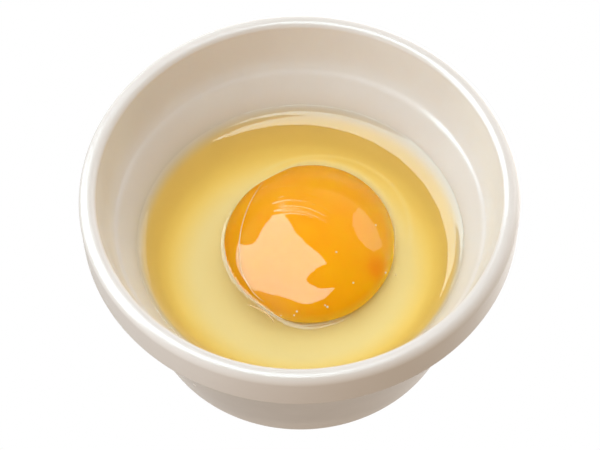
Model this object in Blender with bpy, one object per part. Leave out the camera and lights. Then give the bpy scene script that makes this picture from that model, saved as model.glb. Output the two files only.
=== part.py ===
"""A raw egg cracked into a small white bowl, in metres with +Z up.

The origin is the middle of the bowl's base. The bowl is one turned body: a low
foot, a tapering wall and a thicker collar round the mouth, whose step shows on
the inside as a soft ledge. The egg white fills it up to its level, climbs the
wall a little and climbs the side of the yolk, which stands out of it as a dome.
The photograph looks along +Y, so -Y is the front.
"""

import math

import bmesh
import bpy
from mathutils import Vector, noise
from mathutils.geometry import interpolate_bezier

# Bowl, outside
RIM_RADIUS = 0.0480
BOWL_HEIGHT = 0.0460
RIM_OUTER_ROUND = 0.0020
COLLAR_LOW_RADIUS = 0.0477
COLLAR_LOW_Z = 0.0352
COLLAR_LOW_ROUND = 0.0014
SHOULDER_RADIUS = 0.0444
SHOULDER_Z = 0.0338
BASE_WALL_RADIUS = 0.0345
BASE_ROUND = 0.0030

# Bowl, underneath
RECESS_DEPTH = 0.0030
RECESS_RADIUS = 0.0270
FOOT_INNER_RADIUS = 0.0283

# Bowl, inside, from the mouth down to the floor, as radius and height
MOUTH_RADIUS = 0.0442
RIM_INNER_ROUND = 0.0014
RIM_INNER_END = 165.0
UPPER_WALL_LOW = (0.0425, 0.0379)
LEDGE_MIDDLE = (0.04105, 0.0345)
LEDGE_LOW = (0.0395, 0.0324)
WATERLINE = (0.0361, 0.0260)
LOWER_WALL = (0.0334, 0.0170)
FLOOR_TURN = (0.0310, 0.0120)
FLOOR_EDGE = (0.0270, 0.0097)
FLOOR_FLAT_RADIUS = 0.0190
FLOOR_Z = 0.0090

# Egg white
LEVEL_Z = 0.0245
MENISCUS_RISE = 0.0019
MENISCUS_WIDTH = 0.0055

# Egg white's rise up the yolk: part of a ball on an oval that is drawn in on its left, as far as
# leaves a sound lip round the yolk's room
CAP_CENTRE = Vector((0.0022, 0.0005))
CAP_LONG = 0.0221
CAP_WIDE = 0.01935
CAP_TURN = math.radians(77.0)
CAP_FLAT_RADIUS = 0.0200
CAP_FLAT_START = (math.radians(90.0), math.radians(122.0))
CAP_FLAT_END = (math.radians(238.0), math.radians(257.0))
CAP_FLAT_SHARPNESS = 8.0
CAP_HEIGHT = 0.0061
FOOT_HEIGHT = 0.0030
FOOT_INNER_SHARE = 0.70

# Yolk
YOLK_CENTRE = Vector((0.0022, 0.0022, 0.0198))
YOLK_WIDE = 0.0183
YOLK_LONG = 0.0190
YOLK_ABOVE = 0.0103
YOLK_BELOW = 0.0094
YOLK_UNEVEN = 0.00035
YOLK_LUMPS_ACROSS = 1.3

# Room between pieces that touch
FIT_GAP = 0.0003

# Fineness
SEGMENTS = 64
LEVEL_RINGS = 5
FOOT_RINGS = 6
YOLK_SEGMENTS = 36
YOLK_RINGS = 20
ROUND_STEPS = 4
WALL_STEPS = 2
MENISCUS_STEPS = 4
SHARP_ANGLE = math.radians(40.0)
MERGE = 1e-6


def clear_scene():
    """Removes whatever the startup scene holds."""
    for item in list(bpy.data.objects):
        bpy.data.objects.remove(item, do_unlink=True)


def finish(name, colour, roughness):
    """A plain material for one sub-part."""
    material = bpy.data.materials.new(name)
    material.use_nodes = True
    shader = material.node_tree.nodes["Principled BSDF"]
    shader.inputs["Base Color"].default_value = (*colour, 1.0)
    shader.inputs["Roughness"].default_value = roughness
    shader.inputs["Metallic"].default_value = 0.0
    return material


def arc(centre, radius, start, end):
    """Points of a round stretch of an outline, from one angle in degrees to another."""
    points = []
    for step in range(ROUND_STEPS + 1):
        angle = math.radians(start + (end - start) * step / ROUND_STEPS)
        points.append((centre[0] + radius * math.cos(angle), centre[1] + radius * math.sin(angle)))
    return points


def smooth_run(points):
    """A smooth curve through the named points of a wall, end points included."""
    knots = [Vector((r, z, 0.0)) for r, z in points]
    run = []
    for index in range(len(knots) - 1):
        before = knots[max(index - 1, 0)]
        start = knots[index]
        end = knots[index + 1]
        after = knots[min(index + 2, len(knots) - 1)]
        handle_out = start + (end - before) / 6.0
        handle_in = end - (after - start) / 6.0
        piece = interpolate_bezier(start, handle_out, handle_in, end, WALL_STEPS + 1)
        run.extend((point.x, point.y) for point in piece[:-1])
    run.append(points[-1])
    return run


def inner_wall():
    """The bowl's inside, from under the rim's inner edge down to the middle of the floor."""
    top = (MOUTH_RADIUS, BOWL_HEIGHT - RIM_INNER_ROUND)
    wall = [top, UPPER_WALL_LOW, LEDGE_MIDDLE, LEDGE_LOW, WATERLINE, LOWER_WALL, FLOOR_TURN, FLOOR_EDGE]
    return smooth_run(wall) + [(FLOOR_FLAT_RADIUS, FLOOR_Z), (0.0, FLOOR_Z)]


def bowl_outline():
    """The bowl's half section, from the middle of the underside round the outside to the floor."""
    wall_run = SHOULDER_RADIUS - BASE_WALL_RADIUS
    wall_tilt = math.degrees(math.atan2(wall_run, SHOULDER_Z - BASE_ROUND))
    base_centre = (BASE_WALL_RADIUS - BASE_ROUND, BASE_ROUND)
    collar_centre = (COLLAR_LOW_RADIUS - COLLAR_LOW_ROUND, COLLAR_LOW_Z + COLLAR_LOW_ROUND)
    outer_centre = (RIM_RADIUS - RIM_OUTER_ROUND, BOWL_HEIGHT - RIM_OUTER_ROUND)
    inner_centre = (MOUTH_RADIUS + RIM_INNER_ROUND, BOWL_HEIGHT - RIM_INNER_ROUND)
    outline = [(0.0, RECESS_DEPTH), (RECESS_RADIUS, RECESS_DEPTH), (FOOT_INNER_RADIUS, 0.0)]
    outline += arc(base_centre, BASE_ROUND, -90.0, -wall_tilt)
    outline += [(SHOULDER_RADIUS, SHOULDER_Z)]
    outline += arc(collar_centre, COLLAR_LOW_ROUND, -90.0, 0.0)
    outline += arc(outer_centre, RIM_OUTER_ROUND, 0.0, 90.0)
    outline += arc(inner_centre, RIM_INNER_ROUND, 90.0, RIM_INNER_END)
    outline += inner_wall()
    return outline


def offset(outline, distance):
    """The outline moved to its right-hand side, which on the inner wall is into the bowl."""
    moved = []
    for index, (r, z) in enumerate(outline):
        before = outline[max(index - 1, 0)]
        after = outline[min(index + 1, len(outline) - 1)]
        along = Vector((after[0] - before[0], after[1] - before[1])).normalized()
        moved.append((max(r + along.y * distance, 0.0), z - along.x * distance))
    return moved


def radius_at(outline, height):
    """The radius at one height of an outline that runs downwards."""
    for (upper_r, upper_z), (lower_r, lower_z) in zip(outline[:-1], outline[1:]):
        if lower_z <= height < upper_z:
            return lower_r + (upper_r - lower_r) * (height - lower_z) / (upper_z - lower_z)
    raise ValueError("the outline does not reach this height")


def turned(name, outline, material):
    """A closed body made by turning a half section about the Z axis."""
    shape = bmesh.new()
    corners = [shape.verts.new((r, 0.0, z)) for r, z in outline]
    edges = [shape.edges.new(pair) for pair in zip(corners[:-1], corners[1:])]
    bmesh.ops.spin(
        shape,
        geom=corners + edges,
        cent=(0.0, 0.0, 0.0),
        axis=(0.0, 0.0, 1.0),
        angle=math.tau,
        steps=SEGMENTS,
        use_merge=True,
        use_duplicate=False,
    )
    bmesh.ops.remove_doubles(shape, verts=shape.verts[:], dist=MERGE)
    bmesh.ops.recalc_face_normals(shape, faces=shape.faces[:])
    return as_object(name, shape, material)


def as_object(name, shape, material):
    """Turns the working mesh into a named object, shaded smooth."""
    mesh = bpy.data.meshes.new(name)
    shape.to_mesh(mesh)
    shape.free()
    mesh.materials.append(material)
    mesh.shade_smooth()
    mesh.set_sharp_from_angle(angle=SHARP_ANGLE)
    item = bpy.data.objects.new(name, mesh)
    bpy.context.scene.collection.objects.link(item)
    return item


def ease(value):
    """A smooth step from 0 to 1."""
    value = min(max(value, 0.0), 1.0)
    return value * value * (3.0 - 2.0 * value)


def cap_oval(angle):
    """How far an ellipse round the rise reaches."""
    along = math.cos(angle - CAP_TURN) / CAP_LONG
    across = math.sin(angle - CAP_TURN) / CAP_WIDE
    return 1.0 / math.hypot(along, across)


def cap_reach(angle):
    """How far the rise over the yolk reaches: the ellipse, drawn in and rounder on its left side."""
    oval = cap_oval(angle)
    turn = angle % math.tau
    begun = ease((turn - CAP_FLAT_START[0]) / (CAP_FLAT_START[1] - CAP_FLAT_START[0]))
    ended = ease((turn - CAP_FLAT_END[0]) / (CAP_FLAT_END[1] - CAP_FLAT_END[0]))
    return oval + (CAP_FLAT_RADIUS - oval) * begun * (1.0 - ended)


def rise(share, angle):
    """How far the egg white stands above its level, at a share of the way out to the rise's edge."""
    drawn = (cap_reach(angle) / cap_oval(angle)) ** 2
    across = CAP_WIDE**2 * (drawn * share**2 + (1.0 - drawn) * share**CAP_FLAT_SHARPNESS)
    ball = (CAP_WIDE**2 + CAP_HEIGHT**2) / (2.0 * CAP_HEIGHT)
    return min(CAP_HEIGHT - ball + math.sqrt(ball**2 - across), FOOT_HEIGHT)


def white_outline():
    """The egg white's half section: up along the bowl's wall, with room, then back over its top."""
    lip_z = LEVEL_Z + MENISCUS_RISE
    wall = offset(inner_wall(), FIT_GAP)
    lip_radius = radius_at(wall, lip_z)
    outline = [(r, z) for r, z in reversed(wall) if z < lip_z - FIT_GAP]
    for step in range(MENISCUS_STEPS + 1):
        share = step / MENISCUS_STEPS
        lift = MENISCUS_RISE * (1.0 - share) ** 2
        outline.append((lip_radius - MENISCUS_WIDTH * share, LEVEL_Z + lift))
    flat_radius = lip_radius - MENISCUS_WIDTH
    for ring in range(1, LEVEL_RINGS + 1):
        share = ring / LEVEL_RINGS
        outline.append((flat_radius + (CAP_WIDE - flat_radius) * share, LEVEL_Z))
    for ring in range(1, FOOT_RINGS + 1):
        share = 1.0 - (1.0 - FOOT_INNER_SHARE) * ring / FOOT_RINGS
        outline.append((CAP_WIDE * share, LEVEL_Z))
    return outline + [(0.0, LEVEL_Z)]


def yolk_shape(name, room, material):
    """The yolk, a flattened and slightly uneven ball, or the same made larger by room all round."""
    shape = bmesh.new()
    bmesh.ops.create_uvsphere(shape, u_segments=YOLK_SEGMENTS, v_segments=YOLK_RINGS, radius=1.0)
    for corner in shape.verts:
        way = corner.co.copy()
        grown = room + YOLK_UNEVEN * noise.noise(way * YOLK_LUMPS_ACROSS)
        upright = YOLK_ABOVE if way.z > 0.0 else YOLK_BELOW
        half = Vector((YOLK_WIDE + grown, YOLK_LONG + grown, upright + grown))
        corner.co = YOLK_CENTRE + way * half
    return as_object(name, shape, material)


def climb_yolk(white):
    """Draws the rings of the flat top to the rise's own outline and lifts them up the yolk's side."""
    top = [corner for corner in white.data.vertices if abs(corner.co.z - LEVEL_Z) < MERGE]
    outer_radius = max(math.hypot(corner.co.x, corner.co.y) for corner in top)
    for corner in top:
        radius = math.hypot(corner.co.x, corner.co.y)
        angle = math.atan2(corner.co.y, corner.co.x)
        way = Vector((math.cos(angle), math.sin(angle)))
        share = min(radius / CAP_WIDE, 1.0)
        outside = max((radius - CAP_WIDE) / (outer_radius - CAP_WIDE), 0.0)
        place = (CAP_CENTRE + way * (share * cap_reach(angle))).lerp(way * outer_radius, outside)
        corner.co = Vector((place.x, place.y, LEVEL_Z + rise(share, angle)))


def egg_white(material):
    """The egg white, raised round the yolk and cut out where the yolk sits."""
    white = turned("egg_white", white_outline(), material)
    climb_yolk(white)
    cutter = yolk_shape("yolk_room", FIT_GAP, material)
    cutter.hide_render = True
    cutter.display_type = "WIRE"
    cut = white.modifiers.new("yolk_room", "BOOLEAN")
    cut.operation = "DIFFERENCE"
    cut.solver = "EXACT"
    cut.object = cutter
    return white


def main():
    clear_scene()
    glaze = finish("glaze", (0.90, 0.89, 0.87), 0.15)
    albumen = finish("albumen", (0.92, 0.78, 0.36), 0.05)
    yolk = finish("yolk", (0.95, 0.47, 0.02), 0.20)
    turned("bowl", bowl_outline(), glaze)
    egg_white(albumen)
    yolk_shape("yolk", 0.0, yolk)


main()
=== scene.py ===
import math
import random

import bmesh
import bpy
import numpy as np
from mathutils import Matrix, Vector, noise
from mathutils.geometry import interpolate_bezier


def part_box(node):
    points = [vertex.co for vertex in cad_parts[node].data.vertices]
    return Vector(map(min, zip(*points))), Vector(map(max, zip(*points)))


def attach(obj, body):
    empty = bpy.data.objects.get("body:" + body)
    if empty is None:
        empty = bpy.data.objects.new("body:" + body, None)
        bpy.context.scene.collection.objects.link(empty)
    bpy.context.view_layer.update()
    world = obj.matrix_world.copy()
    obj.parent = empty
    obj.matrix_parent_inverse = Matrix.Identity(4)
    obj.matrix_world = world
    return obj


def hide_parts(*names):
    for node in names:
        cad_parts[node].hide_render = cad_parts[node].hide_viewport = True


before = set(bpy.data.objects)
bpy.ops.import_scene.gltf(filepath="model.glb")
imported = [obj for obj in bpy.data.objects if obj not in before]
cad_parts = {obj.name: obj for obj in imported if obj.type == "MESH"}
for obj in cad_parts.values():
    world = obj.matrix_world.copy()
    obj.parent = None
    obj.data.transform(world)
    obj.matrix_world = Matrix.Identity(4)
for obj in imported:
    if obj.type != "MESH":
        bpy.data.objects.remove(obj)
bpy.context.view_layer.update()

# The frame's own sizes, in metres
BOWL_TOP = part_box("bowl")[1]
RIM_RADIUS = BOWL_TOP.x
BOWL_HEIGHT = BOWL_TOP.z

# Bowl, outside
RIM_OUTER_ROUND = 0.0020
COLLAR_LOW_RADIUS = 0.0477
COLLAR_LOW_Z = 0.0352
COLLAR_LOW_ROUND = 0.0014
SHOULDER_RADIUS = 0.0444
SHOULDER_Z = 0.0338
BASE_WALL_RADIUS = 0.0345
BASE_ROUND = 0.0030

# Bowl, underneath
RECESS_DEPTH = 0.0030
RECESS_RADIUS = 0.0270
FOOT_INNER_RADIUS = 0.0283

# Bowl, inside, from the mouth down to the floor, as radius and height
MOUTH_RADIUS = 0.0442
RIM_INNER_ROUND = 0.0014
RIM_INNER_END = 165.0
UPPER_WALL_LOW = (0.0425, 0.0379)
LEDGE_MIDDLE = (0.04105, 0.0345)
LEDGE_LOW = (0.0395, 0.0324)
WATERLINE = (0.0361, 0.0260)
LOWER_WALL = (0.0334, 0.0170)
FLOOR_TURN = (0.0310, 0.0120)
FLOOR_EDGE = (0.0270, 0.0097)
FLOOR_FLAT_RADIUS = 0.0190
FLOOR_Z = 0.0090

# Yolk
YOLK_CENTRE = Vector((0.0022, 0.0022, 0.0198))
YOLK_WIDE = 0.0183
YOLK_LONG = 0.0190
YOLK_ABOVE = 0.0103
YOLK_BELOW = 0.0094
YOLK_UNEVEN = 0.00035
YOLK_LUMPS_ACROSS = 1.3

# Painted light: a pale ring round the yolk's lower right side, about an axis that leans to the front, painted
# for the light that shines through the yolk's thin edge
RING_AXIS = Vector((0.0, -0.40, 0.917))
RING_SIDE = Vector((0.62, -0.72, -0.31))
RING_RADII = (0.0162, 0.0184)
RING_SPAN = (-0.0030, 0.0100)
PAINTED_RING_COLOUR = (0.97, 0.64, 0.06)

# Deeper orange spot in the yolk, near its right edge
DEEP_SPOT = Vector((0.0163, -0.0064, 0.0241))
DEEP_SPOT_RADII = (0.0, 0.0045)
DEEP_SPOT_COLOUR = (0.95, 0.33, 0.0)

# Egg white
LEVEL_Z = 0.0245
MENISCUS_RISE = 0.0019
MENISCUS_FADE = 0.0024
CAP_CENTRE = Vector((0.0022, 0.0005))
CAP_LONG = 0.0221
CAP_WIDE = 0.01935
CAP_TURN = math.radians(77.0)
CAP_FLAT_RADIUS = 0.0193
CAP_FLAT_START = (math.radians(90.0), math.radians(122.0))
CAP_FLAT_END = (math.radians(230.0), math.radians(268.0))
CAP_FLAT_SHARPNESS = 4.0
CAP_SIDE_EASE = 0.13
CAP_HEIGHT = 0.0061
CAP_BLEND = 0.0005
CAP_FIRST_SHARE = 0.01
THICK_HEIGHT = 0.00025
THICK_RADIUS = 0.0212
THICK_LOBE = 0.0026
THICK_LOBE_ANGLE = math.radians(52.0)
THICK_LOBE_FULLNESS = 3.0
THICK_EDGE = 0.0014
INTO_WALL = 0.0003

# Fineness, and the radius below which a point counts as on the axis
BOWL_SEGMENTS = 224
WHITE_SEGMENTS = 420
CAP_RINGS = 160
LEVEL_RINGS = 42
HIDDEN_RING_STEP = 3
YOLK_SEGMENTS = 192
YOLK_RINGS = 96
ROUND_STEPS = 12
WALL_STEPS = 14
STRAND_SEGMENTS = 12
BUBBLE_SEGMENTS = 20
BUBBLE_RINGS = 12
ON_AXIS = 1e-7

# Soft clouds in the glaze and the yolk: the stretch of noise from the darker tone to the lighter
CLOUD_SPAN = (0.3, 0.7)

# Glaze, dry and under the egg white: its darkest and lightest tone, and how much it mirrors there. Under the
# egg white the tones are painted lighter: painted light that brightens the glaze seen through the white
GLAZE_TONES = ((0.80, 0.785, 0.765), (0.83, 0.82, 0.805))
GLAZE_MIRROR = 0.5
GLAZE_IOR = 1.5
GLAZE_CLOUD = {"Scale": 55.0, "Detail": 4.0}
GLAZE_ROUGHNESS = (0.20, 0.30)
GLAZE_RIPPLE = {"Scale": 160.0, "Detail": 2.0}
GLAZE_BUMP = {"Strength": 0.3, "Distance": 0.0002}
WET_TONES_PAINTED_LIGHTER = ((0.91, 0.90, 0.86), (0.93, 0.92, 0.89))
WET_MIRROR = 0.05

# Painted yellow shade on the wet wall, yellower than the floor: it stands for the deeper yellow and shade of
# the light in the egg white near the wall, and goes back to plain glaze where the egg white thins out on it
WALL_PAINTED_YELLOW = (1.06, 0.91, 0.43)
WALL_PAINTED_YELLOW_RADII = (0.0225, 0.0310)
WALL_PLAIN_HEIGHTS = (0.0205, 0.0262)

# Egg white and yolk as materials
ALBUMEN_IOR = 1.36
ALBUMEN_DEPTH = {"Color": (1.0, 0.930, 0.16, 1.0), "Density": 26.0}
YOLK_TONES = ((0.96, 0.43, 0.001), (0.97, 0.48, 0.002))
YOLK_CLOUD = {"Scale": 140.0, "Detail": 3.0}
YOLK_IOR = 1.40
YOLK_ROUGHNESS = 0.35
YOLK_MIRROR = 0.03
YOLK_SCATTER = {
    "Subsurface Weight": 0.5,
    "Subsurface Radius": (1.0, 0.35, 0.05),
    "Subsurface Scale": 0.003,
}

# Camera, fitted to the two rim ellipses and the base
CAMERA_ELEVATION = math.radians(57.2)
CAMERA_DISTANCE = 0.815
CAMERA_ROLL = math.radians(-0.9)
CAMERA_REACH = 20.0
TARGET = Vector((0.0, 0.0, 0.0324))
FOCAL_LENGTH_MM = 222.3
SENSOR_WIDTH_MM = 36.0

# Studio: the floor, the room's own light, the sun, and each blurred bright part of the room
# as direction, sharpness and colour
FLOOR_SIZE = 6.0
FLOOR_COLOUR = (1.0, 1.0, 1.0)
FLOOR_STRENGTH = 1.0
ROOM_LIGHT = (0.12, 0.078, 0.030)
SUN_WAY = Vector((0.02, -0.06, 1.0))
SUN_ENERGY = 0.88
SUN_WIDTH = math.radians(40.0)
SKY_LIGHTS = [
    ((-0.90, -0.06, 0.43), 2.76, (1.38, 1.46, 1.52)),
    ((0.52, 0.82, -0.22), 4.17, (3.50, 3.52, 3.54)),
    ((-0.49, -0.75, -0.45), 3.03, (0.42, 0.34, 0.30)),
    ((0.51, -0.86, 0.08), 2.94, (0.20, 0.09, 0.0)),
]

# Windows that show only as reflections, as directions from the bowl round each outline
STUDIO_CENTRE = Vector((0.0, 0.0, 0.0285))
WINDOW_DISTANCE = 1.2
MAIN_WINDOW_COLOUR = (0.66, 0.82, 0.88)
MAIN_WINDOW_STRENGTH = 12.0
MAIN_WINDOW = [
    (-0.53, 0.78, 0.33), (-0.68, 0.68, 0.29), (-0.69, 0.59, 0.42), (-0.69, 0.51, 0.52), (-0.65, 0.48, 0.59),
    (-0.59, 0.49, 0.64), (-0.54, 0.55, 0.64), (-0.48, 0.62, 0.61), (-0.41, 0.68, 0.61), (-0.34, 0.72, 0.61),
    (-0.29, 0.61, 0.74), (-0.20, 0.50, 0.84), (-0.04, 0.36, 0.93), (0.14, 0.26, 0.96), (0.27, 0.15, 0.95),
    (0.15, 0.10, 0.98), (0.04, 0.04, 1.00), (-0.03, -0.03, 1.00), (0.03, -0.09, 1.00), (0.18, -0.14, 0.97),
    (0.38, -0.11, 0.92), (0.24, -0.24, 0.94), (0.07, -0.30, 0.95), (-0.10, -0.30, 0.95), (-0.31, -0.25, 0.92),
    (-0.59, -0.21, 0.78), (-0.84, -0.27, 0.47), (-0.93, -0.32, 0.18), (-0.98, -0.10, 0.12),
    (-0.95, 0.30, 0.05), (-0.80, 0.60, 0.02),
]
SIDE_WINDOW_COLOUR = (1.0, 1.0, 1.0)
SIDE_WINDOW_STRENGTH = 3.4
SIDE_WINDOW = [
    (0.48, 0.71, 0.51), (0.46, 0.65, 0.60), (0.48, 0.56, 0.68), (0.54, 0.46, 0.70), (0.63, 0.38, 0.68),
    (0.69, 0.36, 0.63), (0.74, 0.43, 0.53), (0.75, 0.51, 0.42), (0.73, 0.61, 0.31), (0.66, 0.68, 0.31),
    (0.66, 0.63, 0.41), (0.64, 0.58, 0.50), (0.59, 0.62, 0.52), (0.55, 0.68, 0.49),
]

# Film over the yolk, in millimetres: its fold from the back to the front, and the arcs of its wrinkles,
# which all bow the same way about a middle line and differ in place, length and height
MILLIMETRE = 0.001
FOLD = [
    (-7.9, 16.8), (-10.6, 11.1), (-12.2, 6.5), (-13.2, 2.0), (-13.5, -2.5), (-13.0, -7.8), (-11.2, -11.8),
    (-9.5, -14.0), (-8.0, -15.3),
]
FOLD_RADIUS = 0.00012
WRINKLE_COUNT = 14
WRINKLE_SEED = 4
WRINKLE_MIDDLE = -2.0
WRINKLE_LEAN = -0.12
WRINKLE_BOW = -0.04
WRINKLE_PLACES = (4.6, 13.3)
WRINKLE_JITTER = (0.3, 0.7)
WRINKLE_STARTS = (-7.0, -4.0)
WRINKLE_ENDS = (1.0, 8.0)
WRINKLE_HEIGHTS = (0.00005, 0.00009)
WRINKLE_WIDTHS = (0.00014, 0.00019)
WRINKLE_END_FADE = 0.0012

# Bubbles in the egg white as x, y and radius in millimetres, and the chalaza's wisp as points under the level
BUBBLES = [
    (-1.0, -18.4, 0.22), (-1.6, -19.1, 0.18), (5.7, -17.5, 0.25), (5.2, -17.2, 0.16), (7.9, -5.4, 0.20),
    (11.5, -11.9, 0.20), (18.7, -8.1, 0.22), (16.8, 3.1, 0.18), (20.9, -8.4, 0.20), (-4.5, -18.7, 0.16),
]
CHALAZA = [(-11.7, -15.1), (-9.9, -15.9), (-8.2, -16.9), (-6.9, -18.2), (-6.0, -19.8)]
CHALAZA_DEPTH = 0.0009
CHALAZA_RADIUS = 0.0003

# Looks of these details, as colour and the shader's own values
# The fold is a real strand; its pale colour is a painted highlight along it
FOLD_HIGHLIGHT_LOOK = ((1.0, 0.86, 0.62), {"Roughness": 0.35, "IOR": 1.38, "Alpha": 0.55})
CHALAZA_LOOK = ((1.0, 0.82, 0.58), {"Roughness": 0.6, "IOR": 1.38, "Alpha": 0.30})
# The bubbles' pale, nearly opaque skin is a painted highlight for their glints
BUBBLE_GLINT_LOOK = ((1.0, 0.93, 0.75), {"Roughness": 0.1, "IOR": 1.33, "Alpha": 0.85})


def arc(centre, radius, start, end):
    """Points of a round stretch of an outline, from one angle in degrees to another."""
    angles = np.radians(np.linspace(start, end, ROUND_STEPS + 1))
    return [(centre[0] + radius * math.cos(a), centre[1] + radius * math.sin(a)) for a in angles]


def smooth_run(points):
    """A smooth curve through points in a plane, end points included."""
    knots = [Vector((*point, 0.0)) for point in points]
    run = []
    for index in range(len(knots) - 1):
        before = knots[max(index - 1, 0)]
        start = knots[index]
        end = knots[index + 1]
        after = knots[min(index + 2, len(knots) - 1)]
        handle_out = start + (end - before) / 6.0
        handle_in = end - (after - start) / 6.0
        piece = interpolate_bezier(start, handle_out, handle_in, end, WALL_STEPS + 1)
        run.extend((point.x, point.y) for point in piece[:-1])
    run.append(points[-1])
    return run


def inner_wall():
    """The bowl's inside, from under the rim's inner edge down to the middle of the floor."""
    top = (MOUTH_RADIUS, BOWL_HEIGHT - RIM_INNER_ROUND)
    flat = (FLOOR_FLAT_RADIUS, FLOOR_Z)
    wall = [top, UPPER_WALL_LOW, LEDGE_MIDDLE, LEDGE_LOW, WATERLINE, LOWER_WALL, FLOOR_TURN, FLOOR_EDGE, flat]
    return smooth_run(wall) + [(0.5 * FLOOR_FLAT_RADIUS, FLOOR_Z), (0.0, FLOOR_Z)]


def bowl_outline():
    """The bowl's half section, from the middle of the underside round the outside to the floor."""
    wall_tilt = math.degrees(math.atan2(SHOULDER_RADIUS - BASE_WALL_RADIUS, SHOULDER_Z - BASE_ROUND))
    base_centre = (BASE_WALL_RADIUS - BASE_ROUND, BASE_ROUND)
    collar_centre = (COLLAR_LOW_RADIUS - COLLAR_LOW_ROUND, COLLAR_LOW_Z + COLLAR_LOW_ROUND)
    outer_centre = (RIM_RADIUS - RIM_OUTER_ROUND, BOWL_HEIGHT - RIM_OUTER_ROUND)
    inner_centre = (MOUTH_RADIUS + RIM_INNER_ROUND, BOWL_HEIGHT - RIM_INNER_ROUND)
    outline = [(0.0, RECESS_DEPTH), (RECESS_RADIUS, RECESS_DEPTH), (FOOT_INNER_RADIUS, 0.0)]
    outline += arc(base_centre, BASE_ROUND, -90.0, -wall_tilt)
    outline += [(SHOULDER_RADIUS, SHOULDER_Z)]
    outline += arc(collar_centre, COLLAR_LOW_ROUND, -90.0, 0.0)
    outline += arc(outer_centre, RIM_OUTER_ROUND, 0.0, 90.0)
    outline += arc(inner_centre, RIM_INNER_ROUND, 90.0, RIM_INNER_END)
    return outline + inner_wall()


def turned(outline, segments):
    """The rings of a body of revolution, one for each point of its half section."""
    turn = np.arange(segments) * math.tau / segments
    rings = []
    for r, z in outline:
        if r < ON_AXIS:
            rings.append(np.array([[0.0, 0.0, z]]))
        else:
            rings.append(np.stack([r * np.cos(turn), r * np.sin(turn), np.full(segments, z)], axis=1))
    return rings


def skin(name, rings, material):
    """A closed, smooth mesh through rings of points, of which the first and last are single points."""
    points = np.concatenate(rings)
    starts = np.cumsum([0] + [len(ring) for ring in rings])
    faces = []
    for index in range(len(rings) - 1):
        here, there = int(starts[index]), int(starts[index + 1])
        here_count, there_count = len(rings[index]), len(rings[index + 1])
        count = max(here_count, there_count)
        for i in range(count):
            j = (i + 1) % count
            corners = [here + i % here_count, here + j % here_count]
            corners += [there + j % there_count, there + i % there_count]
            faces.append(tuple(dict.fromkeys(corners)))
    mesh = bpy.data.meshes.new(name)
    mesh.from_pydata(points.tolist(), [], faces)
    return as_piece(name, mesh, material)


def as_piece(name, mesh, material):
    """A smooth object with its faces pointing out."""
    shape = bmesh.new()
    shape.from_mesh(mesh)
    bmesh.ops.recalc_face_normals(shape, faces=shape.faces[:])
    shape.to_mesh(mesh)
    shape.free()
    mesh.shade_smooth()
    mesh.materials.append(material)
    piece = bpy.data.objects.new(name, mesh)
    bpy.context.scene.collection.objects.link(piece)
    return piece


def ease(value):
    """A smooth step from 0 to 1."""
    value = np.clip(value, 0.0, 1.0)
    return value * value * (3.0 - 2.0 * value)


def smooth_max(a, b, blend):
    """The larger of two heights, rounded where they meet."""
    near = np.maximum(blend - np.abs(a - b), 0.0) / blend
    return np.maximum(a, b) + near * near * blend * 0.25


def cap_oval(angle):
    """How far an ellipse round the cap reaches."""
    along = np.cos(angle - CAP_TURN) / CAP_LONG
    across = np.sin(angle - CAP_TURN) / CAP_WIDE
    return 1.0 / np.hypot(along, across)


def cap_reach(angle):
    """How far the cap over the yolk reaches: an ellipse, drawn in and rounder on its left side."""
    oval = cap_oval(angle)
    turn = np.mod(angle, math.tau)
    begun = ease((turn - CAP_FLAT_START[0]) / (CAP_FLAT_START[1] - CAP_FLAT_START[0]))
    ended = ease((turn - CAP_FLAT_END[0]) / (CAP_FLAT_END[1] - CAP_FLAT_END[0]))
    return oval + (CAP_FLAT_RADIUS - oval) * begun * (1.0 - ended)


def calm_height(x, y):
    """The white's top without wrinkles: a cap over the yolk, thick white round it, level and meniscus."""
    dx = x - CAP_CENTRE.x
    dy = y - CAP_CENTRE.y
    distance = np.hypot(dx, dy)
    angle = np.arctan2(dy, dx)
    oval = cap_oval(angle)
    drawn = (cap_reach(angle) / oval) ** 2
    out = (distance / oval) ** 2
    full = out + (1.0 - drawn) * (out / drawn) ** CAP_FLAT_SHARPNESS
    across = CAP_WIDE**2 * full ** (1.0 - CAP_SIDE_EASE * np.cos(angle) ** 2)
    ball = (CAP_WIDE**2 + CAP_HEIGHT**2) / (2.0 * CAP_HEIGHT)
    cap = LEVEL_Z + CAP_HEIGHT - ball + np.sqrt(np.maximum(ball**2 - across, 0.0))
    toward_lobe = np.maximum(np.cos(angle - THICK_LOBE_ANGLE), 0.0) ** 2
    thick_edge = THICK_RADIUS + THICK_LOBE * toward_lobe
    in_lobe = ease(THICK_LOBE_FULLNESS * toward_lobe)
    thick = THICK_HEIGHT * in_lobe * ease((thick_edge - distance) / THICK_EDGE + 0.5)
    from_wall = np.maximum(WATERLINE[0] - np.hypot(x, y), -2.0 * INTO_WALL)
    meniscus = MENISCUS_RISE * np.exp(-from_wall / MENISCUS_FADE)
    return smooth_max(cap, LEVEL_Z + thick, CAP_BLEND) + meniscus


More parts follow.
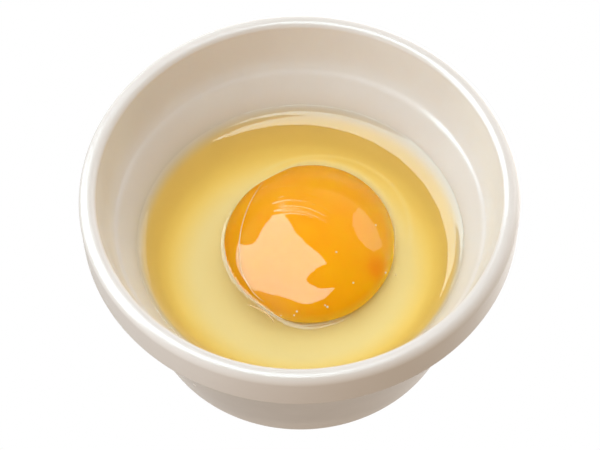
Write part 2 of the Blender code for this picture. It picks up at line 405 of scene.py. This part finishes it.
def wrinkle_relief(x, y):
    """How far the film's wrinkles stand up: thin bowed ridges that fade at both ends."""
    chance = random.Random(WRINKLE_SEED)
    across = x / MILLIMETRE - WRINKLE_MIDDLE
    relief = np.zeros_like(x)
    pitch = (WRINKLE_PLACES[1] - WRINKLE_PLACES[0]) / WRINKLE_COUNT
    for index in range(WRINKLE_COUNT):
        place = WRINKLE_PLACES[0] + pitch * (index + chance.uniform(*WRINKLE_JITTER))
        start = chance.uniform(*WRINKLE_STARTS) * MILLIMETRE
        end = chance.uniform(*WRINKLE_ENDS) * MILLIMETRE
        top = chance.uniform(*WRINKLE_HEIGHTS)
        width = chance.uniform(*WRINKLE_WIDTHS)
        middle = (place + WRINKLE_LEAN * across + WRINKLE_BOW * across**2) * MILLIMETRE
        fade = ease((x - start) / WRINKLE_END_FADE) * ease((end - x) / WRINKLE_END_FADE)
        relief = relief + top * fade * np.exp(-0.5 * ((y - middle) / width) ** 2)
    return relief


def white_rings():
    """The egg white's rings, from the top of its cap out to the wall and down to under the floor."""
    turn = np.arange(WHITE_SEGMENTS) * math.tau / WHITE_SEGMENTS
    reach = cap_reach(turn)
    wall = inner_wall()
    rings = []
    for share in np.linspace(CAP_FIRST_SHARE, 1.0, CAP_RINGS):
        x = CAP_CENTRE.x + share * reach * np.cos(turn)
        y = CAP_CENTRE.y + share * reach * np.sin(turn)
        rings.append(np.stack([x, y, calm_height(x, y) + wrinkle_relief(x, y)], axis=1))
    inner = rings[-1][:, :2]
    outer = (WATERLINE[0] + INTO_WALL) * np.stack([np.cos(turn), np.sin(turn)], axis=1)
    for step in range(1, LEVEL_RINGS + 1):
        share = step / LEVEL_RINGS
        x, y = (inner + (outer - inner) * share).T
        rings.append(np.stack([x, y, calm_height(x, y)], axis=1))
    top = np.array([[CAP_CENTRE.x, CAP_CENTRE.y, rings[0][:, 2].mean()]])
    lip_z = rings[-1][:, 2].mean()
    below = [(r, z) for r, z in grown(wall, INTO_WALL) if z < lip_z - 2.0 * INTO_WALL]
    below = below[:-1:HIDDEN_RING_STEP] + below[-1:]
    return [top] + rings + turned(below, WHITE_SEGMENTS)


def grown(outline, distance):
    """The inner wall's outline moved out into the bowl's own thickness."""
    moved = []
    for index, (r, z) in enumerate(outline):
        before = outline[max(index - 1, 0)]
        after = outline[min(index + 1, len(outline) - 1)]
        along = Vector((after[0] - before[0], after[1] - before[1])).normalized()
        moved.append((max(r - along.y * distance, 0.0) if r > 0.0 else 0.0, z + along.x * distance))
    return moved


def yolk_rings():
    """The yolk's rings, from its top to its bottom: a flattened ball, a little uneven."""
    turn = np.arange(YOLK_SEGMENTS) * math.tau / YOLK_SEGMENTS
    rings = []
    for step in range(YOLK_RINGS + 1):
        tilt = math.pi * step / YOLK_RINGS
        single = step in (0, YOLK_RINGS)
        ring = []
        for angle in (turn[:1] if single else turn):
            way = Vector((math.sin(tilt) * math.cos(angle), math.sin(tilt) * math.sin(angle), math.cos(tilt)))
            grow = YOLK_UNEVEN * noise.noise(way * YOLK_LUMPS_ACROSS)
            upright = YOLK_ABOVE if way.z > 0.0 else YOLK_BELOW
            half = Vector((YOLK_WIDE + grow, YOLK_LONG + grow, upright + grow))
            ring.append(YOLK_CENTRE + way * half)
        rings.append(np.array(ring))
    return rings


def node(tree, kind, inputs=None, **settings):
    """Adds a shader node, sets its properties, and sets or links its inputs."""
    made = tree.nodes.new(kind)
    for key, value in settings.items():
        setattr(made, key, value)
    for key, value in (inputs or {}).items():
        socket = made.inputs[key]
        if isinstance(value, bpy.types.NodeSocket):
            tree.links.new(value, socket)
        else:
            socket.default_value = value
    return made


def new_material(name, **values):
    """A material and its Principled shader, with plain values set on the shader's own sockets."""
    material = bpy.data.materials.new(name)
    material.use_nodes = True
    shader = material.node_tree.nodes["Principled BSDF"]
    for key, value in values.items():
        shader.inputs[key.replace("_", " ")].default_value = value
    return material, material.node_tree, shader


def mixed(tree, blend, share, first, second):
    """Blends two colours in the given way, by a share that may be a socket."""
    mix = node(tree, "ShaderNodeMix", data_type="RGBA", blend_type=blend)
    for socket, value in zip((mix.inputs[0], mix.inputs[6], mix.inputs[7]), (share, first, second)):
        if isinstance(value, bpy.types.NodeSocket):
            tree.links.new(value, socket)
        else:
            socket.default_value = value
    return mix.outputs[2]


def smooth_share(tree, value, span):
    """How far a value has come from one end of a span to the other, eased at both ends."""
    inputs = {"Value": value, "From Min": span[0], "From Max": span[1]}
    return node(tree, "ShaderNodeMapRange", inputs, interpolation_type="SMOOTHSTEP").outputs["Result"]


def vector_math(tree, operation, inputs, output="Vector"):
    """One step of vector arithmetic."""
    return node(tree, "ShaderNodeVectorMath", inputs, operation=operation).outputs[output]


def clouded(tree, where, cloud, tones):
    """A colour that drifts between two tones in soft clouds, and the clouds themselves."""
    clouds = node(tree, "ShaderNodeTexNoise", {"Vector": where, **cloud}).outputs["Fac"]
    ramp = node(tree, "ShaderNodeValToRGB", {"Fac": clouds})
    for stop, position, tone in zip(ramp.color_ramp.elements, CLOUD_SPAN, tones):
        stop.position = position
        stop.color = (*tone, 1.0)
    return ramp.outputs["Color"], clouds


def plain_material(name, colour, values):
    """A material of one colour all over."""
    material, _, shader = new_material(name, **values)
    shader.inputs["Base Color"].default_value = (*colour, 1.0)
    return material


def glaze_material(name, tones, mirror, painted_yellow=None):
    """White glaze over stoneware: glossy, faintly uneven in tone, with a soft ripple, and where asked,
    painted yellow shade on the wall under the egg white.
    """
    material, tree, shader = new_material(name, IOR=GLAZE_IOR, Specular_IOR_Level=mirror)
    where = node(tree, "ShaderNodeTexCoord").outputs["Object"]
    colour, clouds = clouded(tree, where, GLAZE_CLOUD, tones)
    # Painted yellow shade: the wall under the egg white is painted yellower, fading back to the dry glaze
    # higher up
    if painted_yellow:
        flat = vector_math(tree, "MULTIPLY", {0: where, 1: (1.0, 1.0, 0.0)})
        radius = vector_math(tree, "LENGTH", {0: flat}, "Value")
        height = node(tree, "ShaderNodeSeparateXYZ", {"Vector": where}).outputs["Z"]
        colour = mixed(tree, "MULTIPLY", smooth_share(tree, radius, WALL_PAINTED_YELLOW_RADII), colour, (*painted_yellow, 1.0))
        dry = (*GLAZE_TONES[1], 1.0)
        colour = mixed(tree, "MIX", smooth_share(tree, height, WALL_PLAIN_HEIGHTS), colour, dry)
    tree.links.new(colour, shader.inputs["Base Color"])
    inputs = {"Value": clouds, "To Min": GLAZE_ROUGHNESS[0], "To Max": GLAZE_ROUGHNESS[1]}
    gloss = node(tree, "ShaderNodeMapRange", inputs)
    tree.links.new(gloss.outputs["Result"], shader.inputs["Roughness"])
    ripple = node(tree, "ShaderNodeTexNoise", {"Vector": where, **GLAZE_RIPPLE})
    bump = node(tree, "ShaderNodeBump", {"Height": ripple.outputs["Fac"], **GLAZE_BUMP})
    tree.links.new(bump.outputs["Normal"], shader.inputs["Normal"])
    return material


def make_bowl():
    """The bowl in its glaze, which mirrors less where the egg white wets it. There the glaze is painted
    lighter, as painted light, and yellower on the wall, as painted shade.
    """
    dry = glaze_material("glaze", GLAZE_TONES, GLAZE_MIRROR)
    bowl = skin("glazed_bowl", turned(bowl_outline(), BOWL_SEGMENTS), dry)
    bowl.data.materials.append(glaze_material("wet_glaze_with_painted_light", WET_TONES_PAINTED_LIGHTER, WET_MIRROR, WALL_PAINTED_YELLOW))
    for face in bowl.data.polygons:
        corners = [bowl.data.vertices[index].co for index in face.vertices]
        low = min(corner.z for corner in corners) > FLOOR_Z - INTO_WALL
        under = max(corner.z for corner in corners) < WATERLINE[1] + INTO_WALL
        inside = max(corner.xy.length for corner in corners) < WATERLINE[0] + INTO_WALL
        face.material_index = int(low and under and inside)
    return bowl


def albumen_material():
    """Raw egg white: clear, wet, and yellow where it is deep; lamps and sky shine through it."""
    values = {"IOR": ALBUMEN_IOR, "Roughness": 0.0, "Transmission_Weight": 1.0}
    material, tree, shader = new_material("albumen", **values)
    shader.inputs["Base Color"].default_value = (1.0, 1.0, 1.0, 1.0)
    output = tree.nodes["Material Output"]
    ray = node(tree, "ShaderNodeLightPath")
    clear = node(tree, "ShaderNodeBsdfTransparent")
    mix = node(tree, "ShaderNodeMixShader", {
        0: ray.outputs["Is Shadow Ray"],
        1: shader.outputs["BSDF"],
        2: clear.outputs["BSDF"],
    })
    tree.links.new(mix.outputs["Shader"], output.inputs["Surface"])
    depth = node(tree, "ShaderNodeVolumeAbsorption", ALBUMEN_DEPTH)
    tree.links.new(depth.outputs["Volume"], output.inputs["Volume"])
    return material


def yolk_material():
    """Raw yolk: orange, cloudy and wet, with one deeper spot, and painted paler round its lower edge as
    painted light shining through the thin edge.
    """
    values = {"IOR": YOLK_IOR, "Roughness": YOLK_ROUGHNESS, "Specular_IOR_Level": YOLK_MIRROR}
    material, tree, shader = new_material("yolk", **values)
    where = node(tree, "ShaderNodeTexCoord").outputs["Object"]
    colour, _ = clouded(tree, where, YOLK_CLOUD, YOLK_TONES)
    # Painted light: the yolk's lower right edge is painted paler, for light shining through its thin edge
    out = vector_math(tree, "SUBTRACT", {0: where, 1: YOLK_CENTRE})
    beside = vector_math(tree, "CROSS_PRODUCT", {0: out, 1: RING_AXIS})
    radius = vector_math(tree, "LENGTH", {0: beside}, "Value")
    lower = vector_math(tree, "DOT_PRODUCT", {0: out, 1: RING_SIDE}, "Value")
    inputs = {0: smooth_share(tree, radius, RING_RADII), 1: smooth_share(tree, lower, RING_SPAN)}
    ring = node(tree, "ShaderNodeMath", inputs, operation="MULTIPLY").outputs["Value"]
    colour = mixed(tree, "MIX", ring, colour, (*PAINTED_RING_COLOUR, 1.0))
    spot = vector_math(tree, "DISTANCE", {0: where, 1: DEEP_SPOT}, "Value")
    colour = mixed(tree, "MIX", smooth_share(tree, spot, DEEP_SPOT_RADII), (*DEEP_SPOT_COLOUR, 1.0), colour)
    tree.links.new(colour, shader.inputs["Base Color"])
    for key, value in YOLK_SCATTER.items():
        shader.inputs[key].default_value = value
    return material


def placed(piece, slot, *replaced):
    """Ties a piece to the part's one body and hides the solids that it stands for; its finish, slot, is not
    used.
    """
    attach(piece, "root")
    if replaced:
        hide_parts(*replaced)


def unseen_by(piece, *rays):
    """Hides a piece of the studio from some kinds of ray."""
    for ray in rays:
        setattr(piece, "visible_" + ray, False)


def glowing(name, colour, strength):
    """A material that only glows where it is seen or mirrored, and isn't sampled as a lamp."""
    material, tree, _ = new_material(name)
    material.cycles.emission_sampling = "NONE"
    glow = node(tree, "ShaderNodeEmission", {"Color": (*colour, 1.0), "Strength": strength})
    tree.links.new(glow.outputs["Emission"], tree.nodes["Material Output"].inputs["Surface"])
    return material


def make_floor():
    """A plain white floor, wide enough to fill every view, that throws no light of its own on the bowl."""
    bpy.ops.mesh.primitive_plane_add(size=FLOOR_SIZE, location=(0.0, 0.0, 0.0))
    floor = bpy.context.object
    floor.name = "floor"
    floor.data.materials.append(glowing("floor_paper", FLOOR_COLOUR, FLOOR_STRENGTH))
    unseen_by(floor, "diffuse", "glossy", "transmission", "shadow")


def make_window(name, outline, colour, strength):
    """A window that shows only as a reflection: a flat glowing sheet far off, at a fixed place."""
    ways = [Vector(way).normalized() for way in outline]
    facing = sum(ways, Vector()).normalized()
    corners = [STUDIO_CENTRE + way * (WINDOW_DISTANCE / way.dot(facing)) for way in ways]
    mesh = bpy.data.meshes.new(name)
    mesh.from_pydata(corners, [], [range(len(corners))])
    mesh.materials.append(glowing(name, colour, strength))
    window = bpy.data.objects.new(name, mesh)
    bpy.context.scene.collection.objects.link(window)
    unseen_by(window, "camera", "diffuse", "transmission", "volume_scatter", "shadow")


def strand(name, points, radius, depth, material):
    """A thin strand that follows the egg white's top at a depth, and tapers to both ends."""
    run = smooth_run([(x * MILLIMETRE, y * MILLIMETRE) for x, y in points])
    turn = np.arange(STRAND_SEGMENTS) * math.tau / STRAND_SEGMENTS
    rings = []
    for index, (x, y) in enumerate(run):
        middle = np.array([x, y, float(calm_height(x, y)) - depth])
        before = run[max(index - 1, 0)]
        after = run[min(index + 1, len(run) - 1)]
        along = Vector((after[0] - before[0], after[1] - before[1], 0.0)).normalized()
        side = np.array([along.y, -along.x, 0.0])
        if index in (0, len(run) - 1):
            rings.append(middle[None, :])
        else:
            thick = radius * math.sin(math.pi * index / (len(run) - 1)) ** 0.5
            lift = np.outer(np.sin(turn), (0.0, 0.0, thick))
            rings.append(middle + lift + np.outer(np.cos(turn), side * thick))
    return skin(name, rings, material)


def make_bubbles(material):
    """The small bubbles that sit in the egg white's surface, as one piece."""
    shape = bmesh.new()
    fineness = {"u_segments": BUBBLE_SEGMENTS, "v_segments": BUBBLE_RINGS}
    for x, y, radius in BUBBLES:
        place = Vector((x * MILLIMETRE, y * MILLIMETRE, 0.0))
        place.z = float(calm_height(place.x, place.y))
        moved = Matrix.Translation(place)
        bmesh.ops.create_uvsphere(shape, radius=radius * MILLIMETRE, matrix=moved, **fineness)
    mesh = bpy.data.meshes.new("bubbles")
    shape.to_mesh(mesh)
    shape.free()
    return as_piece("bubbles", mesh, material)


def make_details():
    """The film's fold, a strand whose pale colour is a painted highlight, the chalaza's wisp, and the
    bubbles, whose pale skin is a painted highlight.
    """
    pale = plain_material("fold_painted_highlight", *FOLD_HIGHLIGHT_LOOK)
    wisp = plain_material("wisp", *CHALAZA_LOOK)
    bubble_painted_glint = plain_material("bubble_painted_glint", *BUBBLE_GLINT_LOOK)
    placed(strand("film_fold", FOLD, FOLD_RADIUS, 0.0, pale), "albumen")
    placed(strand("chalaza", CHALAZA, CHALAZA_RADIUS, CHALAZA_DEPTH, wisp), "albumen")
    placed(make_bubbles(bubble_painted_glint), "albumen")


def make_sun():
    """The soft light from above, wide enough to blur its shadows."""
    data = bpy.data.lights.new("overhead", "SUN")
    data.energy = SUN_ENERGY
    data.angle = SUN_WIDTH
    lamp = bpy.data.objects.new("overhead", data)
    lamp.rotation_euler = SUN_WAY.to_track_quat("Z", "Y").to_euler()
    bpy.context.scene.collection.objects.link(lamp)
    unseen_by(lamp, "glossy")


def make_sky():
    """Soft light all round: a dim warm room with a few bright, blurred parts."""
    world = bpy.data.worlds.new("studio")
    bpy.context.scene.world = world
    world.use_nodes = True
    tree = world.node_tree
    way = node(tree, "ShaderNodeTexCoord").outputs["Generated"]
    total = ROOM_LIGHT
    for direction, sharpness, colour in SKY_LIGHTS:
        inputs = {0: way, 1: Vector(direction).normalized()}
        facing = vector_math(tree, "DOT_PRODUCT", inputs, "Value")
        inputs = {0: facing, 1: sharpness, 2: -sharpness}
        power = node(tree, "ShaderNodeMath", inputs, operation="MULTIPLY_ADD").outputs["Value"]
        glow = node(tree, "ShaderNodeMath", {0: power}, operation="EXPONENT").outputs["Value"]
        light = vector_math(tree, "SCALE", {0: colour, "Scale": glow})
        total = vector_math(tree, "ADD", {0: total, 1: light})
    tree.links.new(total, tree.nodes["Background"].inputs["Color"])


def make_camera():
    """The photograph's camera: it looks along +Y and down, turned a little about its own axis."""
    data = bpy.data.cameras.new("camera")
    data.lens = FOCAL_LENGTH_MM
    data.sensor_width = SENSOR_WIDTH_MM
    data.clip_end = CAMERA_REACH
    camera = bpy.data.objects.new("camera", data)
    bpy.context.scene.collection.objects.link(camera)
    away = Vector((0.0, -math.cos(CAMERA_ELEVATION), math.sin(CAMERA_ELEVATION)))
    camera.location = TARGET + away * CAMERA_DISTANCE
    facing = away.to_track_quat("Z", "Y").to_matrix().to_4x4()
    camera.rotation_euler = (facing @ Matrix.Rotation(CAMERA_ROLL, 4, "Z")).to_euler()
    bpy.context.scene.camera = camera


bpy.context.scene.view_settings.view_transform = "Standard"
make_camera()
make_sky()
make_sun()
make_window("main_window", MAIN_WINDOW, MAIN_WINDOW_COLOUR, MAIN_WINDOW_STRENGTH)
make_window("side_window", SIDE_WINDOW, SIDE_WINDOW_COLOUR, SIDE_WINDOW_STRENGTH)
make_floor()
placed(make_bowl(), "glaze", "bowl")
placed(skin("clear_white", white_rings(), albumen_material()), "albumen", "egg_white")
placed(skin("whole_yolk", yolk_rings(), yolk_material()), "yolk", "yolk")
make_details()
